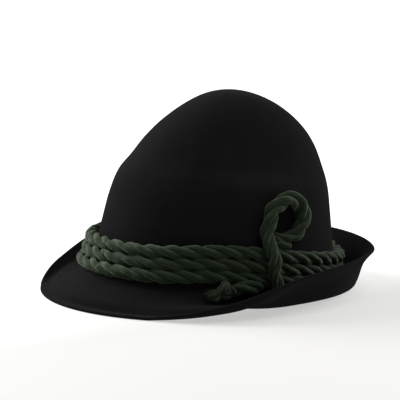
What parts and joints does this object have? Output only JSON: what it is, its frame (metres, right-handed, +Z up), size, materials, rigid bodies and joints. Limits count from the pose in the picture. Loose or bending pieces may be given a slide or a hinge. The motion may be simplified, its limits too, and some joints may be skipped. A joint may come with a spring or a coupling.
{
  "type": "tyrolean hat",
  "caption": "Black wool felt hat with a tapered crown, a brim turned down in front and up at the sides and back, and a thick green twisted cord wound round the crown with an upright eye.",
  "frame": {"origin": "middle of the hat's outline on the surface that it rests on, directly under the crown's middle part", "axes": "+Z up through the crown, -Y to the front of the hat, +X to the wearer's left, where the cord's eye stands"},
  "size_m": [0.2522, 0.2786, 0.158],
  "materials": {
    "felt": "matte pressed wool felt, black",
    "cord": "soft twisted wool roving, dark green"
  },
  "bodies": {
    "root": {"felt_body": "felt", "cord_turn_lower": "cord", "cord_turn_middle": "cord", "cord_turn_upper": "cord", "cord_loop": "cord", "cord_tail": "cord", "cord_knot": "cord", "cord_fray": "cord"}
  },
  "joints": []
}
